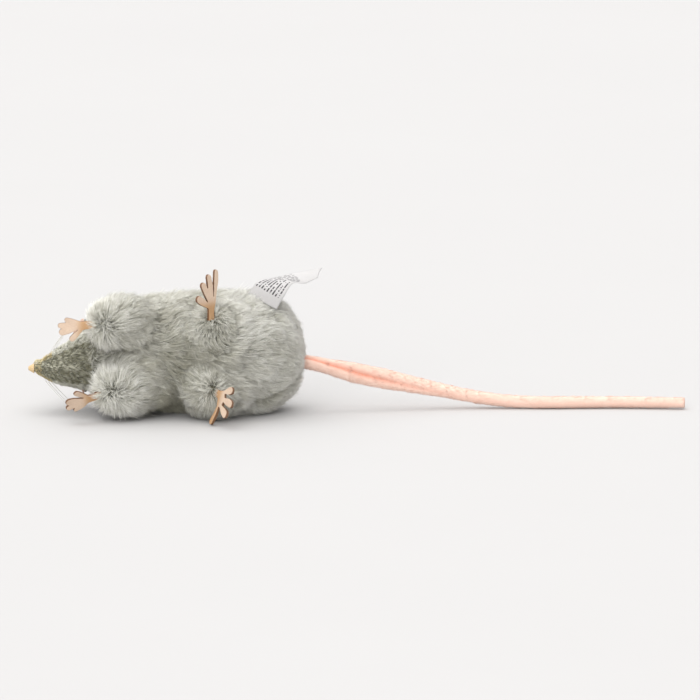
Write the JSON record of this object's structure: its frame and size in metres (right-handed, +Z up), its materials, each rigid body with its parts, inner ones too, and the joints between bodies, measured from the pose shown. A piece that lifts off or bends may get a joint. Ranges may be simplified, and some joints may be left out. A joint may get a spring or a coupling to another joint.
{
  "type": "plush toy mouse",
  "caption": "Stuffed plush mouse lying on its side, with soft legs on suede feet, a short-pile head with ears and eyes, a long rolled velour tail and a sewn-in label.",
  "frame": {"origin": "middle of the flat of the right flank, on the surface that the toy lies on", "axes": "+X from the nose towards the tail, +Y from the belly to the back, +Z up out of the surface, which is towards the mouse's left side"},
  "size_m": [0.3549, 0.089, 0.0819],
  "materials": {
    "body_plush": "long-pile sage grey plush, combed towards the tail",
    "leg_plush": "long-pile plush, frosted nearly white at the tips",
    "head_plush": "short clipped olive grey plush",
    "stuffing": "white polyester fibre",
    "foot_suede": "matte pink-tan suede with browned cut edges",
    "ear_suede": "matte pink suede",
    "tail_velour": "salmon pink velour, rolled and sewn",
    "label_ribbon": "white satin ribbon",
    "nose_thread": "satin golden brown thread",
    "eye_bead": "gloss black",
    "washer_plastic": "matte white nylon",
    "whisker_thread": "satin clear nylon monofilament"
  },
  "bodies": {
    "torso": {"back_panel_left": "body_plush", "back_panel_right": "body_plush", "belly_panel": "body_plush", "body_stuffing": "stuffing"},
    "head": {"head_panel_left": "head_plush", "head_panel_right": "head_plush", "chin_panel": "head_plush", "head_stuffing": "stuffing", "nose_stitching": "nose_thread", "eye_left": "eye_bead", "eye_right": "eye_bead", "eye_washer_left": "washer_plastic", "eye_washer_right": "washer_plastic", "whisker_left_1": "whisker_thread", "whisker_left_2": "whisker_thread", "whisker_left_3": "whisker_thread", "whisker_right_1": "whisker_thread", "whisker_right_2": "whisker_thread", "whisker_right_3": "whisker_thread"},
    "ear_left": {"ear_left_lining": "ear_suede", "ear_left_back": "head_plush"},
    "ear_right": {"ear_right_lining": "ear_suede", "ear_right_back": "head_plush"},
    "tail": {"tail": "tail_velour"},
    "label": {"label": "label_ribbon"},
    "leg_fore_left": {"leg_fore_left_skin": "leg_plush", "leg_fore_left_stuffing": "stuffing"},
    "foot_fore_left": {"foot_fore_left": "foot_suede"},
    "leg_fore_right": {"leg_fore_right_skin": "leg_plush", "leg_fore_right_stuffing": "stuffing"},
    "foot_fore_right": {"foot_fore_right": "foot_suede"},
    "leg_hind_left": {"leg_hind_left_skin": "body_plush", "leg_hind_left_stuffing": "stuffing"},
    "foot_hind_left": {"foot_hind_left": "foot_suede"},
    "leg_hind_right": {"leg_hind_right_skin": "body_plush", "leg_hind_right_stuffing": "stuffing"},
    "foot_hind_right": {"foot_hind_right": "foot_suede"}
  },
  "joints": [
    {"name": "neck_nod", "type": "hinge", "parent": "torso", "child": "head", "pos_m": [-0.056, 0.002, 0.028], "axis": [0, 0, 1], "range_deg": [-10, 10], "stiffness_Nm_per_rad": 0.04},
    {"name": "leg_fore_left_swing", "type": "hinge", "parent": "torso", "child": "leg_fore_left", "pos_m": [-0.0435, -0.022, 0.0525], "axis": [0, 0, 1], "range_deg": [-15, 15], "stiffness_Nm_per_rad": 0.012},
    {"name": "foot_fore_left_flex", "type": "hinge", "parent": "leg_fore_left", "child": "foot_fore_left", "pos_m": [-0.05863, -0.0308, 0.0525], "axis": [-0.0197, -0.0024, 0.9998], "range_deg": [-25, 25], "stiffness_Nm_per_rad": 0.0015},
    {"name": "leg_fore_right_swing", "type": "hinge", "parent": "torso", "child": "leg_fore_right", "pos_m": [-0.0395, -0.024, 0.0172], "axis": [0, 0, 1], "range_deg": [-15, 15], "stiffness_Nm_per_rad": 0.012},
    {"name": "foot_fore_right_flex", "type": "hinge", "parent": "leg_fore_right", "child": "foot_fore_right", "pos_m": [-0.05588, -0.03314, 0.01415], "axis": [0.1698, 0.5258, -0.8335], "range_deg": [-25, 25], "stiffness_Nm_per_rad": 0.0015},
    {"name": "leg_hind_left_swing", "type": "hinge", "parent": "torso", "child": "leg_hind_left", "pos_m": [0.008, -0.021, 0.0452], "axis": [0, 0, 1], "range_deg": [-15, 15], "stiffness_Nm_per_rad": 0.012},
    {"name": "foot_hind_left_flex", "type": "hinge", "parent": "leg_hind_left", "child": "foot_hind_left", "pos_m": [0.0064, -0.02979, 0.05847], "axis": [0.6598, 0.751, -0.0264], "range_deg": [-25, 25], "stiffness_Nm_per_rad": 0.0015},
    {"name": "leg_hind_right_swing", "type": "hinge", "parent": "torso", "child": "leg_hind_right", "pos_m": [0.007, -0.026, 0.016], "axis": [0, 0, 1], "range_deg": [-15, 15], "stiffness_Nm_per_rad": 0.012},
    {"name": "foot_hind_right_flex", "type": "hinge", "parent": "leg_hind_right", "child": "foot_hind_right", "pos_m": [0.01053, -0.04158, 0.0168], "axis": [0.2976, 0.0094, 0.9546], "range_deg": [-25, 25], "stiffness_Nm_per_rad": 0.0015},
    {"name": "ear_left_fold", "type": "hinge", "parent": "head", "child": "ear_left", "pos_m": [-0.065, 0.013, 0.0378], "axis": [0.4976, -0.6111, 0.6156], "range_deg": [-13, 13], "stiffness_Nm_per_rad": 0.0002},
    {"name": "ear_right_fold", "type": "hinge", "parent": "head", "child": "ear_right", "pos_m": [-0.065, 0.013, 0.0162], "axis": [-0.4976, 0.6111, 0.6156], "range_deg": [-13, 13], "stiffness_Nm_per_rad": 0.0002},
    {"name": "tail_swing", "type": "hinge", "parent": "torso", "child": "tail", "pos_m": [0.053, 0.0029, 0.0269], "axis": [0, 0, 1], "range_deg": [-25, 25], "stiffness_Nm_per_rad": 0.003},
    {"name": "label_flap", "type": "hinge", "parent": "torso", "child": "label", "pos_m": [0.03375, -0.00875, 0.06145], "axis": [0.7971, -0.4886, -0.3548], "range_deg": [-20, 20], "stiffness_Nm_per_rad": 0.0005}
  ]
}
